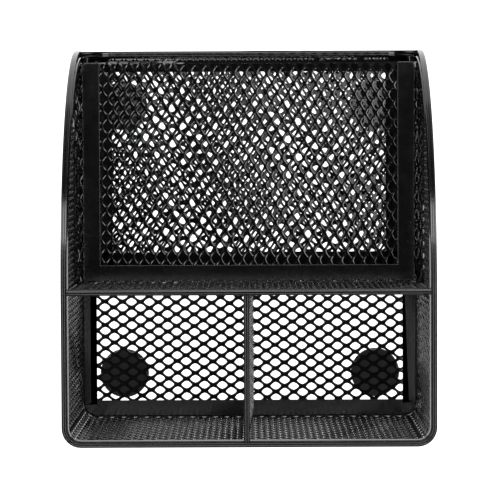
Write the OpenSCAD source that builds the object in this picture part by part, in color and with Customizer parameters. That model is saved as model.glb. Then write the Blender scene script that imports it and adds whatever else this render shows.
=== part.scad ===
// Mesh desk organizer: two open compartments at the back, a raised tray at
// the front, and a drawer that slides out under the tray.
// The front faces -Y. The feet rest on z = 0, below the centre of the base.

/* [Body] */
// Width over the edge rims
body_w = 154.4; // [140:0.2:170]
// Depth over the edge rims
body_d = 167; // [160:0.5:180]
// Height from the table to the top of the rims
body_h = 104; // [98:0.5:110]
// Outer radius of the rear corners, seen from above
corner_r = 8; // [6:0.5:12]
// Width of the steel edge rim
rim_w = 2.4; // [2:0.1:3]
// Depth of the rim, measured down from the wall's edge
rim_h = 3.6; // [3:0.1:5]
// Thickness of the mesh sheets
mesh_t = 0.8; // [0.5:0.1:1]

/* [Side profile] */
// Height at the front edge where the sides' curve ends
front_edge_z = 15; // [13:0.5:18]
// Length of the sides' curve, front to back
curve_len = 104.85; // [100:0.05:110]
// Straight pieces that make up the curve
curve_steps = 28; // [16:1:40]

/* [Base] */
// Width of the flat steel border along the sides of the base
base_border = 6.2; // [5:0.1:8]
// Width of the border along the back of the base
base_border_rear = 7.2; // [6:0.1:9]
// Width of the border along the front of the base
base_border_front = 8; // [6:0.1:10]
// Thickness of the base and tray mesh
floor_mesh_t = 0.6; // [0.4:0.1:0.8]
// Thickness of the flat steel borders
strip_t = 0.8; // [0.6:0.1:1]
// Height of the border's turned-up lip above the border
lip_h = 2.6; // [2:0.1:4]

/* [Feet] */
// Diameter of a foot pad
foot_d = 22; // [18:0.5:24]
// Thickness of a foot pad
foot_h = 3; // [2:0.1:4]
// Distance of the feet from the middle, sideways
foot_x = 57; // [50:0.5:60]
// Distance of the front feet in front of the middle
foot_front_y = 59; // [50:0.5:64]
// Distance of the rear feet behind the middle
foot_rear_y = 62.5; // [50:0.5:65]

/* [Dividers] */
// Position of the cross divider behind the middle
cross_y = 19.6; // [18.8:0.2:24]
// Diameter of the rod on the cross divider
cross_rod_d = 2.6; // [2:0.1:3]
// Diameter of the rod on the middle divider
middle_rod_d = 2.4; // [2:0.1:3]
// Sideways place of the middle divider's foot
middle_foot_x = -1.4; // [-2:0.1:2]
// How far the middle divider's top leans to the right of its foot
middle_lean = 2.4; // [0:0.1:3]

/* [Tray] */
// Height of the tray's top face above the table
tray_z = 44.4; // [43:0.2:50]
// Half the width over the tray's flat side strips
tray_half = 72.1; // [70:0.1:73]
// Half the width between the bends where the tray's mesh turns up
tray_bend_half = 73.1; // [72.2:0.1:74]
// Width of the tray's side strips
tray_strip_w = 7.4; // [6:0.1:9]
// Width of the tray's rear strip
tray_rear_strip_w = 6.9; // [6:0.1:9]
// Distance of the tray's front edge in front of the middle
tray_front_y = 78.6; // [74:0.1:79]
// Rise of the tray's turned-up edge
tray_lip_h = 6; // [4:0.1:8]
// Width of the folded hem along the tray's front edge
tray_hem_w = 1.8; // [1.4:0.1:2.4]

/* [Drawer] */
// Half the width of the drawer front
front_half = 73.8; // [73:0.1:74]
// Height of the drawer front's top edge above the table
front_top_z = 34; // [30:0.5:36]
// Radius of the drawer front's top corners
front_corner_r = 13; // [8:0.5:16]
// Thickness of the drawer front's rolled rim
front_rim_t = 2.1; // [1.8:0.1:2.6]
// Half the width over the drawer's side walls
drawer_half = 71.6; // [70:0.1:71.8]
// Height of the drawer's side walls above the table
drawer_side_z = 29; // [26:0.5:30]
// Distance of the drawer's rear wall behind the middle
drawer_rear_y = 17; // [12:0.5:18]
// Half the width of the opening in the drawer's floor border
drawer_opening_half = 61.8; // [58:0.1:66]
// Width of the drawer's floor border along its front
drawer_border_front = 5.7; // [5:0.1:8]
// Diameter of the guide rods beside the drawer
guide_d = 2.4; // [2:0.1:2.4]

/* [Hidden] */
$fn = 64;

enamel = [0.07, 0.07, 0.075];
mesh_black = [0.13, 0.13, 0.14];
pad_black = [0.03, 0.03, 0.03];

half_d = body_d / 2;
rim_x = body_w / 2 - rim_w / 2;         // centre plane of a side rim
rim_y = half_d - rim_w / 2;             // centre plane of the rear rim
rim_in_x = rim_x - rim_w / 2;           // inner face of a side rim
rim_in_y = rim_y - rim_w / 2;           // inner face of the rear rim
wall_in_x = rim_x - mesh_t / 2;         // inner face of a side wall
wall_in_y = rim_y - mesh_t / 2;         // inner face of the rear wall
wall_r = corner_r - rim_w / 2;          // corner radius on the walls' middle

base_z = foot_h;                        // underside of the base mesh
border_z = base_z + floor_mesh_t;       // underside of the base border
floor_z = border_z + strip_t;           // top of the base border

rise = body_h - front_edge_z;           // height of the sides' curve
curve_y = curve_len - half_d;           // where the curve meets the flat top

strip_z = tray_z - strip_t;             // underside of the tray's strips
tray_mesh_z = strip_z - floor_mesh_t;   // underside of the tray's mesh
tray_rear_y = cross_y - mesh_t / 2;     // front face of the cross divider
tray_strip_rear_y = tray_rear_y - 1.1;

drawer_gap = 0.5;                       // clearance below the drawer
drawer_z = floor_z + drawer_gap;
drawer_border_z = drawer_z + floor_mesh_t;
drawer_floor_top = drawer_border_z + strip_t;
front_y = half_d - 1.6;                 // front face of the drawer front
front_in_y = front_y - front_rim_t;     // back face of the drawer front
edge_w = 2.2;                           // drawer edge rim, across
edge_h = 3.4;                           // drawer edge rim, up and down
drawer_wall_top = drawer_side_z - edge_h;
guide_x = (drawer_half + 0.4) + guide_d / 2;
guide_end_gap = 0.8;

// Side profile, as [y, z] points from the flat top to the front's foot.
// inset moves the outline inwards by the same distance all along.
function profile_point(a, inset) =
    let (ny = sin(a) / curve_len, nz = cos(a) / rise, n = norm([ny, nz]))
    [curve_y - curve_len * sin(a) + inset * ny / n,
     front_edge_z + rise * cos(a) - inset * nz / n];

function profile_curve(inset) =
    [for (i = [0 : curve_steps]) profile_point(90 * i / curve_steps, inset)];

module profile_area(inset, rear_y) {
    polygon(concat([[rear_y, body_h - inset]], profile_curve(inset),
                   [[-half_d + inset, base_z], [rear_y, base_z]]));
}

module profile_band(rear_y) {
    inner = profile_curve(rim_h);
    count = len(inner);
    polygon(concat([[rear_y, body_h]], profile_curve(0),
                   [[-half_d, floor_z], [-half_d + rim_h, floor_z]],
                   [for (i = [count - 1 : -1 : 0]) inner[i]],
                   [[rear_y, body_h - rim_h]]));
}

// Stands a [y, z] outline up and gives it a thickness along X
module along_x(x, t) {
    translate([x - t / 2, 0, 0]) rotate([90, 0, 90]) linear_extrude(height = t) children();
}

// A box given by its two opposite corners
module span(low, high) {
    translate(low) cube(high - low);
}

// A rectangle with two rounded rear corners
module rear_round_rect(half, front, rear, r) {
    translate([-half, front]) square([2 * half, rear - front - r]);
    translate([-half + r, front]) square([2 * (half - r), rear - front]);
    for (s = [-1, 1]) translate([s * (half - r), rear - r]) circle(r);
}

// A rectangle with four rounded corners
module round_rect(half, front, rear, r) {
    translate([-half, front + r]) square([2 * half, rear - front - 2 * r]);
    translate([-half + r, front]) square([2 * (half - r), rear - front]);
    for (s = [-1, 1], y = [front + r, rear - r]) translate([s * (half - r), y]) circle(r);
}

// The U-shaped line of the walls seen from above, with a thickness
module wall_plan(t) {
    difference() {
        rear_round_rect(rim_x + t / 2, -half_d, rim_y + t / 2, wall_r + t / 2);
        rear_round_rect(rim_x - t / 2, -half_d - 1, rim_y - t / 2, wall_r - t / 2);
    }
}

// ---- organizer ----

module base_mesh() {
    color(mesh_black) translate([0, 0, base_z]) linear_extrude(height = floor_mesh_t)
        rear_round_rect(wall_in_x, -half_d, wall_in_y, wall_r - mesh_t / 2);
}

module base_frame() {
    lip_front = -half_d + rim_h;
    color(enamel) {
        translate([0, 0, border_z]) linear_extrude(height = strip_t) difference() {
            rear_round_rect(wall_in_x, -half_d, wall_in_y, wall_r - mesh_t / 2);
            round_rect(wall_in_x - base_border, -half_d + base_border_front,
                       wall_in_y - base_border_rear, 5);
        }
        translate([0, 0, border_z]) linear_extrude(height = strip_t + lip_h) difference() {
            rear_round_rect(wall_in_x, lip_front, wall_in_y, wall_r - mesh_t / 2);
            rear_round_rect(wall_in_x - strip_t, lip_front - 1, wall_in_y - strip_t,
                            wall_r - mesh_t / 2 - strip_t);
        }
    }
}

module wall_mesh() {
    color(mesh_black) intersection() {
        translate([0, 0, base_z]) linear_extrude(height = body_h) wall_plan(mesh_t);
        along_x(0, body_w) profile_area(rim_h, half_d);
    }
}

module wall_rim() {
    rear_start = rim_y - wall_r;
    color(enamel) {
        for (s = [-1, 1]) along_x(s * rim_x, rim_w) profile_band(rear_start);
        for (s = [-1, 1]) translate([s * (rim_x - wall_r), rear_start, body_h - rim_h])
            rotate([0, 0, s > 0 ? 0 : 90]) rotate_extrude(angle = 90)
                translate([wall_r - rim_w / 2, 0]) square([rim_w, rim_h]);
        span([-rim_x + wall_r, rim_in_y, body_h - rim_h], [rim_x - wall_r, half_d, body_h]);
    }
}

module cross_divider_mesh() {
    color(mesh_black) span([-rim_in_x, cross_y - mesh_t / 2, floor_z],
                           [rim_in_x, cross_y + mesh_t / 2, body_h - cross_rod_d]);
}

module cross_divider_rod() {
    color(enamel) translate([-rim_in_x, cross_y, body_h - cross_rod_d / 2])
        rotate([0, 90, 0]) cylinder(d = cross_rod_d, h = 2 * rim_in_x);
}

// The middle divider leans a little, from its foot to the rod along its top
module middle_divider_mesh() {
    start = cross_y + mesh_t / 2;
    foot = middle_foot_x;
    top = middle_foot_x + middle_lean;
    top_z = body_h - middle_rod_d;
    color(mesh_black) translate([0, rim_in_y, 0]) rotate([90, 0, 0])
        linear_extrude(height = rim_in_y - start)
            polygon([[foot - mesh_t / 2, floor_z], [foot + mesh_t / 2, floor_z],
                     [top + mesh_t / 2, top_z], [top - mesh_t / 2, top_z]]);
}

module middle_divider_rod() {
    start = cross_y + cross_rod_d / 2;
    color(enamel) translate([middle_foot_x + middle_lean, start, body_h - middle_rod_d / 2])
        rotate([-90, 0, 0]) cylinder(d = middle_rod_d, h = rim_in_y - start);
}

// The tray's mesh turns up along the side walls and the cross divider
module tray_mesh() {
    side_top_z = tray_z + tray_lip_h;
    // the lips stop where the sides' rim comes down to their height
    lip_drop = (side_top_z + rim_h - front_edge_z) / rise;
    lip_front = curve_y - curve_len * sqrt(1 - lip_drop * lip_drop) + rim_h;
    color(mesh_black) {
        span([-tray_bend_half, -tray_front_y + tray_hem_w, tray_mesh_z],
             [tray_bend_half, tray_rear_y, strip_z]);
        for (s = [0, 1]) mirror([s, 0, 0]) translate([0, tray_rear_y, 0]) rotate([90, 0, 0])
            linear_extrude(height = tray_rear_y - lip_front)
                polygon([[tray_bend_half, tray_mesh_z], [wall_in_x, side_top_z - 0.6],
                         [wall_in_x, side_top_z], [wall_in_x - 0.4, side_top_z],
                         [tray_bend_half, strip_z]]);
        span([-tray_bend_half, tray_rear_y - floor_mesh_t, tray_mesh_z],
             [tray_bend_half, tray_rear_y, side_top_z]);
    }
}

module tray_frame() {
    color(enamel) translate([0, 0, strip_z]) linear_extrude(height = strip_t) difference() {
        round_rect(tray_half, -tray_front_y + tray_hem_w, tray_strip_rear_y, 1.5);
        translate([-tray_half + tray_strip_w, -half_d])
            square([2 * (tray_half - tray_strip_w), half_d + tray_strip_rear_y - tray_rear_strip_w]);
    }
}

module tray_front_hem() {
    hem_t = 1.8;
    color(enamel) span([-tray_half, -tray_front_y, strip_z - hem_t / 2],
                       [tray_half, -tray_front_y + tray_hem_w, strip_z + hem_t / 2]);
}

module guide_rod(side) {
    front = -front_in_y + guide_end_gap;
    color(enamel) translate([side * guide_x, front, floor_z + guide_d / 2])
        rotate([-90, 0, 0]) cylinder(d = guide_d, h = cross_y - mesh_t / 2 - front);
}
module guide_rod_left() { guide_rod(-1); }
module guide_rod_right() { guide_rod(1); }

module foot(x, y) {
    edge = 0.5;
    color(pad_black) translate([x, y, 0]) rotate_extrude()
        polygon([[0, 0], [foot_d / 2 - edge, 0], [foot_d / 2, edge],
                 [foot_d / 2, foot_h], [0, foot_h]]);
}
module foot_front_left() { foot(-foot_x, -foot_front_y); }
module foot_front_right() { foot(foot_x, -foot_front_y); }
module foot_rear_left() { foot(-foot_x, foot_rear_y); }
module foot_rear_right() { foot(foot_x, foot_rear_y); }

// ---- drawer ----

module drawer_floor_mesh() {
    color(mesh_black) span([-drawer_half + mesh_t, -front_in_y, drawer_z],
                           [drawer_half - mesh_t, drawer_rear_y - mesh_t, drawer_border_z]);
}

module drawer_floor_frame() {
    half = drawer_half - mesh_t;
    border = half - drawer_opening_half;
    color(enamel) translate([0, 0, drawer_border_z]) linear_extrude(height = strip_t) difference() {
        translate([-half, -front_in_y])
            square([2 * half, front_in_y + drawer_rear_y - mesh_t]);
        round_rect(drawer_opening_half, -front_in_y + drawer_border_front,
                   drawer_rear_y - mesh_t - border, 4);
    }
}

module drawer_wall(side) {
    color(mesh_black) along_x(side * (drawer_half - mesh_t / 2), mesh_t)
        translate([-front_in_y, drawer_z])
            square([front_in_y + drawer_rear_y, drawer_wall_top - drawer_z]);
}
module drawer_wall_left() { drawer_wall(-1); }
module drawer_wall_right() { drawer_wall(1); }

module drawer_wall_rear() {
    half = drawer_half - mesh_t;
    color(mesh_black) span([-half, drawer_rear_y - mesh_t, drawer_z],
                           [half, drawer_rear_y, drawer_wall_top]);
}

module drawer_edge_rim() {
    outer = drawer_half - mesh_t / 2 + edge_w / 2;
    rear = drawer_rear_y - mesh_t / 2 + edge_w / 2;
    color(enamel) translate([0, 0, drawer_wall_top]) linear_extrude(height = edge_h) difference() {
        rear_round_rect(outer, -front_in_y, rear, 4);
        rear_round_rect(outer - edge_w, -front_in_y - 1, rear - edge_w, 4 - edge_w);
    }
}

// Outline of the drawer front in the X-Z plane
module front_outline(inset) {
    half = front_half - inset;
    low = drawer_z + inset;
    high = front_top_z - inset;
    r = front_corner_r - inset;
    translate([-half, low]) square([2 * half, high - low - r]);
    translate([-half + r, low]) square([2 * (half - r), high - low]);
    for (s = [-1, 1]) translate([s * (half - r), high - r]) circle(r);
}

module drawer_front_mesh() {
    color(mesh_black) translate([0, -front_in_y - (front_rim_t - mesh_t) / 2, 0])
        rotate([90, 0, 0]) linear_extrude(height = mesh_t) front_outline(rim_h);
}

module drawer_front_rim() {
    color(enamel) translate([0, -front_in_y, 0]) rotate([90, 0, 0])
        linear_extrude(height = front_rim_t) difference() {
            front_outline(0);
            front_outline(rim_h);
        }
}

base_mesh();
base_frame();
wall_mesh();
wall_rim();
cross_divider_mesh();
cross_divider_rod();
middle_divider_mesh();
middle_divider_rod();
tray_mesh();
tray_frame();
tray_front_hem();
guide_rod_left();
guide_rod_right();
foot_front_left();
foot_front_right();
foot_rear_left();
foot_rear_right();
drawer_floor_mesh();
drawer_floor_frame();
drawer_wall_left();
drawer_wall_right();
drawer_wall_rear();
drawer_edge_rim();
drawer_front_mesh();
drawer_front_rim();
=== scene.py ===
import math

import bmesh
import bpy
from mathutils import Matrix, Vector


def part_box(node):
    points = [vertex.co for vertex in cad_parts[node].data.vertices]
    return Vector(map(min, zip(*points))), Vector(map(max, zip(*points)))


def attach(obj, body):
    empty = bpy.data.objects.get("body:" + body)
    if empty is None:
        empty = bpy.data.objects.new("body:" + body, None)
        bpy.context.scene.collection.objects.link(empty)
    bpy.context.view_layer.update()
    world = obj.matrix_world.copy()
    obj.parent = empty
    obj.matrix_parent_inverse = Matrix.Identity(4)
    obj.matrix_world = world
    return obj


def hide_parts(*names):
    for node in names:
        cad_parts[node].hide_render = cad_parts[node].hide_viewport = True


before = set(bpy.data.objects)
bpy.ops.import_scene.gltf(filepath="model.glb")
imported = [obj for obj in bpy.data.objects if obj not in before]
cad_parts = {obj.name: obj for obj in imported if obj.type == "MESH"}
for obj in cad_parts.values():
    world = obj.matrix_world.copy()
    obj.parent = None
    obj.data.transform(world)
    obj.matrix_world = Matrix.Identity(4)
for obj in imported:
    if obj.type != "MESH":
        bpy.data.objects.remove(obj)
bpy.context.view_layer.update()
MM = 0.001


# ---- Base mesh ----------------------------------------------------------------
# The floor of the organizer is a sheet of raised expanded steel: thin sheet, slit
# and pulled open into long diamonds, then dipped in black enamel and stoved.


def linear(hex_colour):
    """Turns an sRGB hex colour into linear red, green, blue and alpha."""
    parts = [int(hex_colour[i:i + 2], 16) / 255 for i in (1, 3, 5)]
    parts = [p / 12.92 if p <= 0.04045 else ((p + 0.055) / 1.055) ** 2.4 for p in parts]
    return (*parts, 1.0)


def add_node(tree, kind, settings=(), values=(), links=()):
    """Adds a shader node with its settings, its socket values and its links."""
    node = tree.nodes.new("ShaderNode" + kind)
    for name, value in dict(settings).items():
        setattr(node, name, value)
    for name, value in dict(values).items():
        node.inputs[name].default_value = value
    for name, (source, output) in dict(links).items():
        tree.links.new(source.outputs[output], node.inputs[name])
    return node


def stoved_enamel(name, dark, light, rough_low, rough_high, peel, depth):
    """Dipped and stoved enamel: a deep colour under a glossy skin with a slight orange peel."""
    material = bpy.data.materials.new(name)
    material.use_nodes = True
    tree = material.node_tree
    shader = tree.nodes["Principled BSDF"]
    place = add_node(tree, "TexCoord")
    # the enamel pools and thins over a few millimetres, which shifts its shade a little
    pools = add_node(tree, "TexNoise", values={"Scale": 1 / (6 * MM), "Detail": 3},
                     links={"Vector": (place, "Object")})
    shade = add_node(tree, "ValToRGB", links={"Fac": (pools, "Fac")})
    shade.color_ramp.elements[0].position = 0.35
    shade.color_ramp.elements[1].position = 0.65
    shade.color_ramp.elements[0].color = linear(dark)
    shade.color_ramp.elements[1].color = linear(light)
    rough = add_node(tree, "MapRange", values={"To Min": rough_low, "To Max": rough_high},
                     links={"Value": (pools, "Fac")})
    skin = add_node(tree, "TexNoise", values={"Scale": 1 / (peel * MM), "Detail": 2},
                    links={"Vector": (place, "Object")})
    bump = add_node(tree, "Bump", values={"Strength": 0.6, "Distance": depth * MM},
                    links={"Height": (skin, "Fac")})
    tree.links.new(shade.outputs["Color"], shader.inputs["Base Color"])
    tree.links.new(rough.outputs["Result"], shader.inputs["Roughness"])
    tree.links.new(bump.outputs["Normal"], shader.inputs["Normal"])
    return material


# thin dipped coat on the strands: semi-gloss, because the edges break up the reflections
MESH_ENAMEL = stoved_enamel("Stoved black enamel on expanded steel",
                            "#040405", "#080809", 0.13, 0.2, 0.8, 0.015)

# thickness of the sheet, and width of the steel left between two openings
SHEET = 0.6 * MM
STRAND = 1.0 * MM
# how far a strand's edge stands out of the sheet's middle on each side
RAISE = 0.55 * MM
# folds sharper than this stay crisp, and softer ones are smooth
CRISP_FOLD = math.radians(24)


def finish_piece(bm, name, material, body, nodes):
    """Makes an object from a bmesh, and names its material, its body and the nodes it stands for."""
    mesh = bpy.data.meshes.new(name)
    bm.to_mesh(mesh)
    bm.free()
    for face in mesh.polygons:
        face.use_smooth = True
    mesh.materials.append(material)
    piece = bpy.data.objects.new(name, mesh)
    bpy.context.scene.collection.objects.link(piece)
    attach(piece, body)
    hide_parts(*nodes)
    return piece


def cut_away(bm, point, outward):
    """Cuts a sheet along a plane and drops what lies outward of it."""
    bmesh.ops.bisect_plane(bm, geom=bm.verts[:] + bm.edges[:] + bm.faces[:], dist=1e-6,
                           plane_co=point, plane_no=outward, clear_outer=True)


def round_corners(high_x, high_y, radius):
    """The cuts that round both corners at the high-Y edge of a sheet centred on X = 0."""
    cuts = []
    for step in range(1, 8):
        turn = math.pi / 2 * step / 8
        for side in (-1, 1):
            outward = Vector((side * math.sin(turn), math.cos(turn), 0))
            centre = Vector((side * (high_x - radius), high_y - radius, 0))
            cuts.append((centre + radius * outward, outward))
    return cuts


def expanded_sheet(low, high, long_way, short_way, bond_at=None, skew=(0, 0), cuts=(),
                   end_bond=3.2 * MM, knee=1.8 * MM, roundness=1.5, crest=0.0, raised=RAISE):
    """A flat expanded sheet from low to high, with its openings' long way along X.

    The end bond is the steel between two openings end to end, the knee the steel side to side,
    and the crest the width of the narrow facet that the shear leaves round each opening. A
    roundness of 1 makes the openings sharp diamonds, and 2 ellipses.
    """
    bm = bmesh.new()
    width = high[0] - low[0]
    height = high[1] - low[1]
    # the grid is turned into diamonds, so it is made large enough to cover the sheet's corners
    spare_cells = 6
    cells = 2 * math.ceil(width / long_way / 2 + height / short_way / 2) + spare_cells
    bmesh.ops.create_grid(bm, x_segments=cells, y_segments=cells, size=cells / math.sqrt(8))
    bmesh.ops.rotate(bm, verts=bm.verts, matrix=Matrix.Rotation(math.pi / 4, 3, "Z"))
    bmesh.ops.scale(bm, verts=bm.verts, vec=(long_way, short_way, 1))
    # a sheet comes off the press a little out of square
    out_of_square = Matrix(((1, skew[0], 0), (skew[1], 1, 0), (0, 0, 1)))
    bmesh.ops.transform(bm, verts=bm.verts, matrix=out_of_square.to_4x4())
    start = bond_at or ((low[0] + high[0]) / 2, (low[1] + high[1]) / 2)
    bmesh.ops.translate(bm, verts=bm.verts, vec=(*start, 0))
    cut_away(bm, (low[0], 0, 0), (-1, 0, 0))
    cut_away(bm, (high[0], 0, 0), (1, 0, 0))
    cut_away(bm, (0, low[1], 0), (0, -1, 0))
    cut_away(bm, (0, high[1], 0), (0, 1, 0))
    for point, outward in cuts:
        cut_away(bm, point, outward)
    # a sliver left along a cut edge stays closed, as it does under a real rim
    open_cells = [f for f in bm.faces if 2 * f.calc_area() / f.calc_perimeter() > 0.85 * STRAND]
    whole_cells = [f for f in open_cells if f.calc_area() > 0.49 * long_way * short_way]
    bmesh.ops.inset_individual(bm, faces=open_cells, thickness=STRAND / 2, use_even_offset=True)
    # each whole opening's corners keep its centre, and the corners' new neighbours inherit it
    centre_of = bm.verts.layers.float_vector.new("centre")
    for hole in whole_cells:
        centre = hole.calc_center_median()
        centre.z = 1
        for vert in hole.verts:
            vert[centre_of] = centre
    edges = list({e for hole in whole_cells for e in hole.edges})
    bmesh.ops.delete(bm, geom=open_cells, context="FACES")
    bmesh.ops.subdivide_edges(bm, edges=edges, cuts=2)
    for vert in bm.verts:
        centre = vert[centre_of]
        if centre.z < 0.5:
            continue
        along = (vert.co.x - centre.x) / (long_way - end_bond) * 2
        across = (vert.co.y - centre.y) / (short_way - knee) * 2
        reach = (abs(along) ** roundness + abs(across) ** roundness) ** (1 / roundness)
        vert.co.x = centre.x + (vert.co.x - centre.x) / reach
        vert.co.y = centre.y + (vert.co.y - centre.y) / reach
        vert.co.z = raised * across / reach
    if crest:
        edges = [e for e in bm.edges
                 if e.is_boundary and e.verts[0][centre_of].z + e.verts[1][centre_of].z > 1.5]
        outer = {v for e in edges for v in e.verts}
        grown = bmesh.ops.extrude_edge_only(bm, edges=edges)["geom"]
        for vert in outer:
            away = (vert.co - vert[centre_of]).to_2d().normalized()
            vert.co += crest * away.to_3d()
        for vert in (g for g in grown if isinstance(g, bmesh.types.BMVert)):
            # the high side rolls over gently, and the low side goes on down
            on_high_side = vert.co.z > -0.01 * MM
            vert.co.z -= crest * (0.24 if on_high_side else 0.8)
    bm.verts.layers.float_vector.remove(centre_of)
    # the shears leave crisp edges
    for edge in bm.edges:
        edge.smooth = edge.is_manifold and edge.calc_face_angle() < CRISP_FOLD
    return bm


def mesh_piece(bm, name, body, nodes):
    """Makes an enamelled piece from an expanded sheet, and gives it the sheet's thickness."""
    piece = finish_piece(bm, name, MESH_ENAMEL, body, nodes)
    thick = piece.modifiers.new("Sheet", "SOLIDIFY")
    thick.thickness = SHEET
    thick.offset = 0
    return piece


low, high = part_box("base_mesh")
base_long_way = 8.11 * MM
base_short_way = 5.34 * MM
base_bond_at = (-2.6 * MM, 1.5 * MM)
base_skew = (-0.0156, -0.0179)
base_corner_radius = 6 * MM
base = expanded_sheet((low.x, low.y), (high.x, high.y), base_long_way, base_short_way,
                      base_bond_at, base_skew,
                      cuts=round_corners(high.x, high.y, base_corner_radius))
bmesh.ops.translate(base, verts=base.verts, vec=(0, 0, (low.z + high.z) / 2))
mesh_piece(base, "base_expanded_mesh", "organizer", ["base_mesh"])


# ---- Base border --------------------------------------------------------------
# A pressed frame of flat steel strip lies on the base mesh. Its outer edge is
# coved up against the walls, where it is spot-welded, and its inner edge is cut.

# thick gloss coat on flat and rolled strip, with a fine orange peel
STRIP_ENAMEL = stoved_enamel("Stoved gloss black enamel on steel strip",
                             "#040405", "#080808", 0.12, 0.18, 1.6, 0.01)
STRIP = 0.8 * MM


def rounded_plate(low, high, radius, corners, segments=8):
    """A flat rectangle in the XY plane, with a radius on the corners that are asked for."""
    bm = bmesh.new()
    bmesh.ops.create_grid(bm, x_segments=1, y_segments=1, size=0.5)
    bmesh.ops.scale(bm, verts=bm.verts, vec=(high[0] - low[0], high[1] - low[1], 1))
    bmesh.ops.translate(bm, verts=bm.verts,
                        vec=((low[0] + high[0]) / 2, (low[1] + high[1]) / 2, 0))
    round_verts = [v for v in bm.verts if corners(v.co)]
    bmesh.ops.bevel(bm, geom=round_verts, offset=radius, affect="VERTICES",
                    segments=segments, profile=0.5, material=-1)
    return bm


def strip_modifiers(piece, thickness, edge=0.25 * MM):
    """Gives a strip its thickness below its drawn face, and soft enamelled edges."""
    thick = piece.modifiers.new("Strip", "SOLIDIFY")
    thick.thickness = thickness
    thick.offset = -1
    soft = piece.modifiers.new("Soft edges", "BEVEL")
    soft.width = edge
    soft.segments = 2
    soft.limit_method = "ANGLE"
    soft.harden_normals = True
    return piece


low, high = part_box("base_frame")
border_corner_radius = 6.4 * MM
border = rounded_plate((low.x, low.y), (high.x, high.y), border_corner_radius,
                       lambda co: co.y > 0)
bmesh.ops.translate(border, verts=border.verts, vec=(0, 0, high.z))
middle_face = border.faces[:]
# in millimetres, each step goes in from the wall and down the cove, to the flat and its cut edge
cove_steps = ((0.15, 2.2), (0.3, 0.4), (5.75, 0))
for inward, drop in cove_steps:
    bmesh.ops.inset_region(border, faces=middle_face, thickness=inward * MM, depth=-drop * MM,
                           use_even_offset=True, use_boundary=True)
flat_z = min(v.co.z for v in border.verts)
bmesh.ops.delete(border, geom=middle_face, context="FACES")
border_width = sum(inward for inward, drop in cove_steps) * MM
rear_extra_width = 1 * MM
for vert in border.verts:
    # the front has no cove, because the drawer passes over it
    if vert.co.y < low.y + 7 * MM:
        vert.co.z = flat_z
    on_rear_inner_edge = abs(vert.co.y - (high.y - border_width)) < 0.5 * MM
    if on_rear_inner_edge and abs(vert.co.x) < high.x - 6 * MM:
        vert.co.y -= rear_extra_width
strip_modifiers(finish_piece(border, "base_border_strip", STRIP_ENAMEL, "organizer",
                             ["base_frame"]), STRIP, 0.08 * MM)


# ---- Walls --------------------------------------------------------------------
# One expanded sheet is bent round the left side, the back and the right side. Its
# diamonds stand upright, and its top edge follows the sides' curve to the front.

curve_length = 104.85 * MM
front_edge_z = 15 * MM
rim_low, rim_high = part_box("wall_rim")
rise = rim_high.z - front_edge_z
curve_start_y = rim_low.y + curve_length


def side_curve(angle, inset):
    """A point (y, z) on the sides' edge, and its outward direction, at an angle from the top."""
    outward = Vector((0, -math.sin(angle) / curve_length, math.cos(angle) / rise)).normalized()
    y = curve_start_y - curve_length * math.sin(angle)
    z = front_edge_z + rise * math.cos(angle)
    return Vector((0, y, z)) - inset * outward, outward


wall_low, wall_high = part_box("wall_mesh")
# an upright sheet lies in the middle of a node that is 0.8 mm thick
half_wall = 0.4 * MM
wall_x = wall_high.x - half_wall
wall_y = wall_high.y - half_wall
wall_radius = 6.8 * MM
straight_x = wall_x - wall_radius
straight_y = wall_y - wall_radius
corner_run = wall_radius * math.pi / 2
# distances along the sheet from the middle of the back
to_corner = straight_x
to_side = straight_x + corner_run


def along_wall(run):
    """The place and the outward direction at a distance along the sheet from the back's middle."""
    side = 1 if run > 0 else -1
    run = abs(run)
    if run <= to_corner:
        return Vector((side * run, wall_y, 0)), Vector((0, 1, 0))
    if run <= to_side:
        turn = (run - to_corner) / wall_radius
        outward = Vector((side * math.sin(turn), math.cos(turn), 0))
        return Vector((side * straight_x, straight_y, 0)) + wall_radius * outward, outward
    return Vector((side * wall_x, straight_y - (run - to_side), 0)), Vector((side, 0, 0))


# the sheet's edge lies this far inside the rim's outer edge
rim_cover = 2 * MM
sheet_end = to_side + straight_y - rim_low.y - rim_cover
curve_cuts = 14
cuts = []
for step in range(curve_cuts + 1):
    point, outward = side_curve(math.pi / 2 * step / curve_cuts, rim_cover)
    for side in (-1, 1):
        run = side * (to_side + straight_y - point.y)
        cuts.append(((point.z, run, 0), (outward.z, -side * outward.y, 0)))
wall_long_way = 8 * MM
wall_short_way = 5.2 * MM
# the sheet runs on past its box, up into the rim
wall_margin = 1 * MM
wall = expanded_sheet((wall_low.z, -sheet_end), (wall_high.z + wall_margin, sheet_end),
                      wall_long_way, wall_short_way, cuts=cuts)
# extra lines across the sheet where it bends keep the corners round
corner_steps = 8
for side in (-1, 1):
    for step in range(corner_steps + 1):
        bend = (0, side * (to_corner + corner_run * step / corner_steps), 0)
        bmesh.ops.bisect_plane(wall, geom=wall.verts[:] + wall.edges[:] + wall.faces[:],
                               dist=1e-6, plane_co=bend, plane_no=(0, 1, 0))
for vert in wall.verts:
    place, outward = along_wall(vert.co.y)
    vert.co = place + outward * vert.co.z + Vector((0, 0, vert.co.x))
mesh_piece(wall, "wall_expanded_mesh", "organizer", ["wall_mesh"])


# ---- Wall rim -----------------------------------------------------------------
# A rolled steel channel grips the walls' edge from one front foot, up over the side,
# round the back and down the other side. Rolling leaves two beads along its crown.


def arc(x, z, radius, start, end, steps):
    """Points of an arc in a section, from one angle to another in degrees."""
    turns = [math.radians(start + (end - start) * i / steps) for i in range(steps + 1)]
    return [Vector((x + radius * math.cos(a), 0, z + radius * math.sin(a))) for a in turns]


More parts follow.
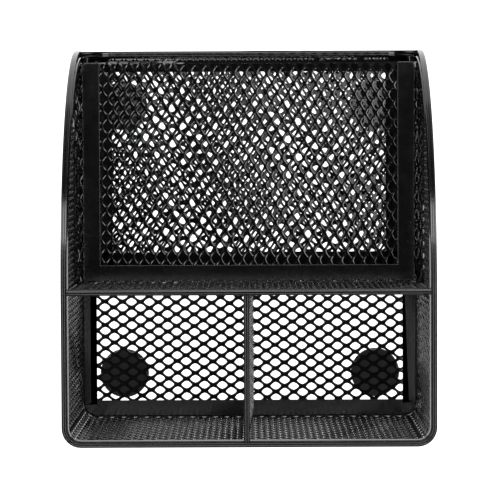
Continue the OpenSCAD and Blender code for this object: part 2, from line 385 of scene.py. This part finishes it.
def channel_section(width, depth, beads, foot=0.0):
    """The rolled channel's section: crown at z = 0 and outer side at +x.

    Each bead is a place across the crown and a radius, in millimetres, from the outer side in.
    """
    half = width / 2
    bead_height = 0.15 * MM
    points = [Vector((half - 0.1 * MM, 0, -depth)), Vector((half, 0, -depth + 0.2 * MM)),
              Vector((half, 0, -0.35 * MM)), Vector((half - 0.15 * MM, 0, -bead_height))]
    for place, radius in beads:
        half_turn = math.degrees(math.acos(1 - bead_height / (radius * MM)))
        points += arc(place * MM, -radius * MM, radius * MM, 90 - half_turn, 90 + half_turn, 8)
    points += [Vector((-half + 0.15 * MM, 0, -bead_height)), Vector((-half, 0, -0.35 * MM))]
    if foot:
        # the inner side ends in a narrow foot that slopes inwards
        points += [Vector((-half, 0, -depth + 0.5 * MM)),
                   Vector((-half - foot, 0, -depth + 0.5 * MM - 0.33 * foot)),
                   Vector((-half - foot, 0, -depth))]
    else:
        points.append(Vector((-half, 0, -depth)))
    return points


def sweep(section, frames, closed=False):
    """Extrudes a closed section from frame to frame. Each frame is a matrix for the section."""
    bm = bmesh.new()
    verts = [bm.verts.new(frames[0] @ point) for point in section]
    ring = [bm.edges.new((verts[i - 1], verts[i])) for i in range(len(verts))]
    first = list(ring)
    for here, there in zip(frames, frames[1:]):
        grown = bmesh.ops.extrude_edge_only(bm, edges=ring)["geom"]
        ring = [g for g in grown if isinstance(g, bmesh.types.BMEdge)]
        moved = [g for g in grown if isinstance(g, bmesh.types.BMVert)]
        bmesh.ops.transform(bm, matrix=there @ here.inverted(), verts=moved)
    if closed:
        bmesh.ops.remove_doubles(bm, verts=bm.verts, dist=0.01 * MM)
    else:
        bmesh.ops.edgeloop_fill(bm, edges=first)
        bmesh.ops.edgeloop_fill(bm, edges=ring)
    bmesh.ops.recalc_face_normals(bm, faces=bm.faces)
    # the folds stay crisp, and the rolled beads stay smooth
    for edge in bm.edges:
        if edge.is_manifold and edge.calc_face_angle() > CRISP_FOLD:
            edge.smooth = False
    return bm


def stand(place, across, up):
    """A matrix that stands a section at a place, with its x across and its z up."""
    along = up.cross(across)
    turned = Matrix((across, along, up)).transposed().to_4x4()
    turned.translation = place
    return turned


rim_width = 2.4 * MM
rim_depth = 3.6 * MM
rim_foot = 0.45 * MM
rim_beads = ((0.43, 0.35), (-0.43, 0.25))
rim_x = rim_high.x - rim_width / 2
rim_curve_steps = 40
half_path = [stand(Vector((rim_x, rim_low.y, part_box("base_frame")[0].z + STRIP)),
                   Vector((1, 0, 0)), Vector((0, -1, 0)))]
for step in range(rim_curve_steps, -1, -1):
    point, outward = side_curve(math.pi / 2 * step / rim_curve_steps, 0)
    half_path.append(stand(Vector((rim_x, point.y, point.z)), Vector((1, 0, 0)), outward))
for step in range(corner_steps + 1):
    place, outward = along_wall(to_side - corner_run * step / corner_steps)
    half_path.append(stand(Vector((place.x, place.y, rim_high.z)), outward, Vector((0, 0, 1))))
flip = Matrix.Scale(-1, 4, (1, 0, 0))
# the mirrored half keeps the section's outer side outwards
other_path = [stand(flip @ m.translation, flip.to_3x3() @ m.col[0].to_3d(),
                    m.col[2].to_3d()) for m in reversed(half_path)]
rim_section = channel_section(rim_width, rim_depth, rim_beads, rim_foot)
rim = sweep(rim_section, half_path + other_path)
finish_piece(rim, "wall_edge_rim", STRIP_ENAMEL, "organizer", ["wall_rim"])


# ---- Dividers -----------------------------------------------------------------
# The cross divider and the middle divider are expanded panels, each hung from a
# rolled channel whose ends are welded to the rims.


def standing_panel(name, node, body, long_way, short_way, margin=0.0):
    """An upright panel in a node's box, with its openings' long way upright."""
    low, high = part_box(node)
    across = 0 if high.x - low.x > high.y - low.y else 1
    bm = expanded_sheet((low.z - margin, low[across]), (high.z + margin, high[across]),
                        long_way, short_way)
    # a box wider than the panel's own 0.8 mm holds a panel that leans over its height
    lean = (high - low)[1 - across] - 2 * half_wall
    for vert in bm.verts:
        z, run, off = vert.co
        off += lean * ((z - low.z) / (high.z - low.z) - 0.5)
        if across == 0:
            vert.co = (run, (low.y + high.y) / 2 + off, z)
        else:
            vert.co = ((low.x + high.x) / 2 + off, run, z)
    return mesh_piece(bm, name, body, [node])


def channel(name, node, body, beads):
    """A straight channel in the box of a node that lies along X or Y."""
    low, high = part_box(node)
    along_x = high.x - low.x > high.y - low.y
    up = Vector((0, 0, 1))
    if along_x:
        middle = (low.y + high.y) / 2
        ends = [Vector((x, middle, high.z)) for x in (low.x, high.x)]
        across = Vector((0, 1, 0))
        width = high.y - low.y
    else:
        middle = (low.x + high.x) / 2
        ends = [Vector((middle, y, high.z)) for y in (low.y, high.y)]
        across = Vector((1, 0, 0))
        width = high.x - low.x
    section = channel_section(width, high.z - low.z, beads)
    bm = sweep(section, [stand(end, across, up) for end in ends])
    return finish_piece(bm, name, STRIP_ENAMEL, body, [node])


divider_long_way = 8 * MM
divider_short_way = 5 * MM
# the panels run on past their boxes, up into the channels and down to the base
divider_margin = 1 * MM
standing_panel("cross_divider_panel", "cross_divider_mesh", "organizer", divider_long_way,
               divider_short_way, divider_margin)
channel("cross_divider_channel", "cross_divider_rod", "organizer", ((0.6, 0.25), (-0.55, 0.9)))
standing_panel("middle_divider_panel", "middle_divider_mesh", "organizer", divider_long_way,
               divider_short_way, divider_margin)
channel("middle_divider_channel", "middle_divider_rod", "organizer", ((0.45, 0.3), (-0.5, 0.3)))


# ---- Tray ---------------------------------------------------------------------
# The raised tray is an expanded sheet whose sides turn up against the walls, with a
# flat U-shaped strip welded on top and a folded hem along its open front edge.

tray_low, tray_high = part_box("tray_mesh")
hem_low, hem_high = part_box("tray_front_hem")
strip_low, strip_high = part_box("tray_frame")
tray_sheet_z = strip_low.z - SHEET / 2
# the sides turn up this far outside the strip
turn_up_gap = 1 * MM
turn_up_x = strip_high.x + turn_up_gap
lip_run = math.hypot(tray_high.x - turn_up_x, tray_high.z - tray_sheet_z)


def tray_sheet(front_y, rear_y, half, cuts=()):
    """The tray's expanded sheet, flat, between two places along Y, with its long way along Y."""
    long_way = 8.06 * MM
    short_way = 4.78 * MM
    bond_at = (-27.72 * MM, -0.06 * MM)
    skew = (-0.0228, 0.0183)
    return expanded_sheet((front_y, -half), (rear_y, half), long_way, short_way, bond_at, skew,
                          cuts, end_bond=2.2 * MM, knee=1.2 * MM, roundness=1.25,
                          crest=0.14 * MM)


# the turned-up sides are snipped at the front, behind the walls' rim
snips = [((tray_low.y, side * turn_up_x, 0), (-0.6, side * 0.8, 0)) for side in (-1, 1)]
tray = tray_sheet(tray_low.y, tray_high.y, turn_up_x + lip_run, snips)
for vert in tray.verts:
    y, run, off = vert.co
    past = max(abs(run) - turn_up_x, 0) / lip_run
    side = 1 if run > 0 else -1
    if past > 0:
        x = side * (turn_up_x + past * (tray_high.x - turn_up_x))
    else:
        x = run
    vert.co = (x, y, tray_sheet_z + off + past * (tray_high.z - tray_sheet_z))
mesh_piece(tray, "tray_expanded_mesh", "organizer", ["tray_mesh"])

# along its open front the sheet is creased and folded down
fold_y = hem_low.y + SHEET / 2
fold_depth = 1.2 * MM
crease_drop = 0.35 * MM
hem = tray_sheet(fold_y - fold_depth, hem_high.y, hem_high.x)
for vert in hem.verts:
    y, x, off = vert.co
    if y < fold_y:
        vert.co = (x, fold_y - off, tray_sheet_z - crease_drop - (fold_y - y))
    else:
        slope = (hem_high.y - y) / (hem_high.y - fold_y)
        vert.co = (x, y, tray_sheet_z + off - crease_drop * slope)
mesh_piece(hem, "tray_front_folded_hem", "organizer", ["tray_front_hem"])

strip = rounded_plate((strip_low.x, strip_low.y), (strip_high.x, strip_high.y), 1.5 * MM,
                      lambda co: True, 4)
bmesh.ops.translate(strip, verts=strip.verts, vec=(0, 0, strip_high.z))
side_strip_width = 7.4 * MM
rear_strip_width = 6.9 * MM
inner_x = strip_high.x - side_strip_width
inner_y = strip_high.y - rear_strip_width
for point, across in (((-inner_x, 0, 0), (1, 0, 0)), ((inner_x, 0, 0), (1, 0, 0)),
                      ((0, inner_y, 0), (0, 1, 0))):
    bmesh.ops.bisect_plane(strip, geom=strip.verts[:] + strip.edges[:] + strip.faces[:],
                           dist=1e-6, plane_co=point, plane_no=across)
opening = [f for f in strip.faces
           if abs(f.calc_center_median().x) < inner_x and f.calc_center_median().y < inner_y]
bmesh.ops.delete(strip, geom=opening, context="FACES")
strip_modifiers(finish_piece(strip, "tray_border_strip", STRIP_ENAMEL, "organizer",
                             ["tray_frame"]), STRIP, 0.3 * MM)


# ---- Guide rods ---------------------------------------------------------------
# Two drawn steel rods are welded along the base border and keep the drawer straight.

for side in ("left", "right"):
    low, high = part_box("guide_rod_" + side)
    radius = (high.z - low.z) / 2
    ends = [Vector(((low.x + high.x) / 2, y, low.z + radius)) for y in (low.y, high.y)]
    # a round section of 16 sides, whose last side closes it
    rod = sweep(arc(0, 0, radius, 0, 337.5, 15),
                [stand(p, Vector((1, 0, 0)), Vector((0, 0, 1))) for p in ends])
    finish_piece(rod, "drawer_guide_rod_" + side, STRIP_ENAMEL, "organizer",
                 ["guide_rod_" + side])


# ---- Feet ---------------------------------------------------------------------
# Round pads punched from black foam rubber and glued under the base mesh.


def foam_rubber(name):
    """Foam rubber: matte, with fine open cells that show as a pitted skin, with painted shade in the
    pits.
    """
    material = bpy.data.materials.new(name)
    material.use_nodes = True
    tree = material.node_tree
    shader = tree.nodes["Principled BSDF"]
    place = add_node(tree, "TexCoord")
    # real cells are 0.2 mm; they are drawn at 0.5 mm so that they show
    cells = add_node(tree, "TexVoronoi", values={"Scale": 1 / (0.5 * MM)},
                     links={"Vector": (place, "Object")})
    # the colour follows the bump's height, so each pit is darker: painted shade in the hollows
    shade = add_node(tree, "ValToRGB", links={"Fac": (cells, "Distance")})
    shade.color_ramp.elements[0].color = linear("#060606")
    shade.color_ramp.elements[1].color = linear("#111111")
    bump = add_node(tree, "Bump", values={"Strength": 0.5, "Distance": 0.15 * MM},
                    links={"Height": (cells, "Distance")})
    tree.links.new(shade.outputs["Color"], shader.inputs["Base Color"])
    tree.links.new(bump.outputs["Normal"], shader.inputs["Normal"])
    shader.inputs["Roughness"].default_value = 0.85
    return material


PAD = foam_rubber("Black foam rubber")
for corner in ("front_left", "front_right", "rear_left", "rear_right"):
    low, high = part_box("foot_" + corner)
    radius = (high.x - low.x) / 2
    pad = bmesh.new()
    bmesh.ops.create_cone(pad, cap_ends=True, segments=64, radius1=radius, radius2=radius,
                          depth=high.z - low.z)
    rims = [e for e in pad.edges if abs(e.verts[0].co.z - e.verts[1].co.z) < 1e-6]
    bmesh.ops.bevel(pad, geom=rims, offset=0.5 * MM, affect="EDGES", segments=3, profile=0.5,
                    material=-1)
    bmesh.ops.translate(pad, verts=pad.verts, vec=(low + high) / 2)
    finish_piece(pad, "foam_foot_" + corner, PAD, "organizer", ["foot_" + corner])


# ---- Drawer -------------------------------------------------------------------
# The drawer is a shallow box of the same expanded steel on a flat border, with a
# rolled channel round its three low walls and a taller front that is also the pull.

low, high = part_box("drawer_floor_mesh")
floor_long_way = 7.86 * MM
floor_short_way = 4.72 * MM
floor_bond_at = (-30.85 * MM, 0.64 * MM)
floor_skew = (0.0354, -0.0423)
# the floor's strands are pressed flatter, so that they clear the base border
floor_raise = 0.3 * MM
floor = expanded_sheet((low.y, low.x), (high.y, high.x), floor_long_way, floor_short_way,
                       floor_bond_at, floor_skew, end_bond=2.4 * MM, knee=1.3 * MM,
                       roundness=1.25, crest=0.14 * MM, raised=floor_raise)
for vert in floor.verts:
    y, x, off = vert.co
    vert.co = (x, y, (low.z + high.z) / 2 + off)
mesh_piece(floor, "drawer_expanded_floor", "drawer", ["drawer_floor_mesh"])

low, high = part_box("drawer_floor_frame")
cut_corner_radius = 0.5 * MM
border = rounded_plate((low.x, low.y), (high.x, high.y), cut_corner_radius, lambda co: True, 2)
bmesh.ops.translate(border, verts=border.verts, vec=(0, 0, high.z))
opening_half = 61.8 * MM
front_border = 5.7 * MM
side_border = high.x - opening_half
middle_face = border.faces[:]
bmesh.ops.inset_region(border, faces=middle_face, thickness=side_border, use_even_offset=True,
                       use_boundary=True)
bmesh.ops.delete(border, geom=middle_face, context="FACES")
for vert in border.verts:
    if abs(vert.co.y - (low.y + side_border)) < 1 * MM:
        vert.co.y = low.y + front_border
strip_modifiers(finish_piece(border, "drawer_border_strip", STRIP_ENAMEL, "drawer",
                             ["drawer_floor_frame"]), STRIP)

drawer_long_way = 7.9 * MM
drawer_short_way = 4.8 * MM
# each wall runs on past its box: up into the channel, and down past the drawer's floor,
# where its foot reaches 0.3 mm into the base border
panel_margin = 0.8 * MM
for side in ("left", "right", "rear"):
    standing_panel(f"drawer_{side}_panel", "drawer_wall_" + side, "drawer", drawer_long_way,
                   drawer_short_way, panel_margin)

low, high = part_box("drawer_edge_rim")
edge_radius = 2.9 * MM
edge_width = 2.2 * MM
edge_x = high.x - edge_width / 2
edge_y = high.y - edge_width / 2
path = [stand(Vector((edge_x, low.y, high.z)), Vector((1, 0, 0)), Vector((0, 0, 1)))]
for step in range(7):
    turn = math.pi / 2 * step / 6
    outward = Vector((math.cos(turn), math.sin(turn), 0))
    centre = Vector((edge_x - edge_radius, edge_y - edge_radius, high.z))
    path.append(stand(centre + edge_radius * outward, outward, Vector((0, 0, 1))))
path += [stand(flip @ m.translation, flip.to_3x3() @ m.col[0].to_3d(), m.col[2].to_3d())
         for m in reversed(path)]
edge = sweep(channel_section(edge_width, high.z - low.z, ((0, 0.6),)), path)
finish_piece(edge, "drawer_edge_channel", STRIP_ENAMEL, "drawer", ["drawer_edge_rim"])

front_low, front_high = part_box("drawer_front_rim")
front_y = (front_low.y + front_high.y) / 2
corner_radius = 13 * MM
# the panel's edge lies this far inside the front rim
panel_inset = 1.2 * MM
panel_low = Vector((front_low.x + panel_inset, 0, front_low.z + panel_inset))
panel_high = Vector((front_high.x - panel_inset, 0, front_high.z - panel_inset))
cuts = round_corners(panel_high.x, panel_high.z, corner_radius - panel_inset)
panel = expanded_sheet((panel_low.x, panel_low.z), (panel_high.x, panel_high.z),
                       drawer_long_way, drawer_short_way, cuts=cuts)
for vert in panel.verts:
    x, z, off = vert.co
    vert.co = (x, front_y + off, z)
mesh_piece(panel, "drawer_front_expanded_panel", "drawer", ["drawer_front_mesh"])

path = [stand(Vector((0, front_y, front_low.z)), Vector((0, 1, 0)), Vector((0, 0, -1)))]
small_radius = 1.2 * MM
stops = ((front_high.x - small_radius, front_low.z + small_radius, small_radius, -90),
         (front_high.x - corner_radius, front_high.z - corner_radius, corner_radius, 0))
for x, z, radius, start in stops:
    for step in range(9):
        turn = math.radians(start + 90 * step / 8)
        outward = Vector((math.cos(turn), 0, math.sin(turn)))
        path.append(stand(Vector((x, front_y, z)) + radius * outward, Vector((0, 1, 0)), outward))
path.append(stand(Vector((0, front_y, front_high.z)), Vector((0, 1, 0)), Vector((0, 0, 1))))
path += [stand(flip @ m.translation, m.col[0].to_3d(), flip.to_3x3() @ m.col[2].to_3d())
         for m in reversed(path[:-1])]
front_beads = ((0.55, 0.3), (-0.5, 1.1))
front_section = channel_section(front_high.y - front_low.y, rim_depth, front_beads)
front_rim = sweep(front_section, path, closed=True)
finish_piece(front_rim, "drawer_front_edge_rim", STRIP_ENAMEL, "drawer", ["drawer_front_rim"])


# ---- Studio -------------------------------------------------------------------
# A bright white table, a long soft box over each side and each end, and a dim
# ceiling, so that flat black faces stay dark and rolled edges draw thin lights.

table_bm = bmesh.new()
bmesh.ops.create_grid(table_bm, x_segments=1, y_segments=1, size=6)
bmesh.ops.translate(table_bm, verts=table_bm.verts, vec=(0, 0, -0.02 * MM))
table_mesh = bpy.data.meshes.new("white_table")
table_bm.to_mesh(table_mesh)
table_bm.free()
table = bpy.data.objects.new("white_table", table_mesh)
bpy.context.scene.collection.objects.link(table)
white = bpy.data.materials.new("White light table")
white.use_nodes = True
white_shader = white.node_tree.nodes["Principled BSDF"]
white_shader.inputs["Base Color"].default_value = linear("#3c3c3c")
white_shader.inputs["Roughness"].default_value = 0.9
white_shader.inputs["Emission Color"].default_value = (1, 1, 1, 1)
white_shader.inputs["Emission Strength"].default_value = 1.5
table_mesh.materials.append(white)

world = bpy.data.worlds.new("Studio")
world.use_nodes = True
# the tent round the table is grey low down and open to a dark ceiling
way_out = add_node(world.node_tree, "TexCoord")
height = add_node(world.node_tree, "SeparateXYZ", links={"Vector": (way_out, "Generated")})
tent = add_node(world.node_tree, "ValToRGB", links={"Fac": (height, "Z")})
tent.color_ramp.elements[0].color = (0.15, 0.15, 0.15, 1)
tent.color_ramp.elements[1].color = (0.02, 0.02, 0.02, 1)
for position, level in ((0.15, 0.12), (0.4, 0.04)):
    tent.color_ramp.elements.new(position).color = (level, level, level, 1)
background = world.node_tree.nodes["Background"]
world.node_tree.links.new(tent.outputs["Color"], background.inputs["Color"])
bpy.context.scene.world = world


def soft_box(name, place, power):
    """A long soft box that hangs at a place, level and square to the object, and faces it."""
    light = bpy.data.lights.new(name, "AREA")
    light.shape = "RECTANGLE"
    light.size = 0.8
    light.size_y = 0.35
    light.energy = power
    box = bpy.data.objects.new(name, light)
    box.location = place
    box.rotation_mode = "QUATERNION"
    box.rotation_quaternion = (Vector((0, 0, 0.05)) - Vector(place)).to_track_quat("-Z", "Y")
    bpy.context.scene.collection.objects.link(box)


box_height = 1.05
box_watts = 7
for side, x, y in (("left", 0.5, 0), ("right", -0.5, 0), ("back", 0, 0.5), ("front", 0, -0.5)):
    soft_box("soft_box_" + side, (x, y, box_height), box_watts)

camera_data = bpy.data.cameras.new("camera")
camera_data.lens = 161.9
camera_data.sensor_width = 36
camera_data.clip_start = 0.05
camera_data.clip_end = 20
camera = bpy.data.objects.new("camera", camera_data)
bpy.context.scene.collection.objects.link(camera)
camera_place = Vector((-3.1, -36.7, 1023.3)) * MM
looks_at = Vector((-0.3, 6.5, 4.4)) * MM
ahead = (looks_at - camera_place).normalized()
right = ahead.cross(Vector((-0.0045, -1, 0))).normalized()
up = right.cross(ahead)
turned = Matrix((right, up, -ahead)).transposed().to_4x4()
camera.matrix_world = Matrix.Translation(camera_place) @ turned
bpy.context.scene.camera = camera
bpy.context.scene.view_settings.view_transform = "Standard"
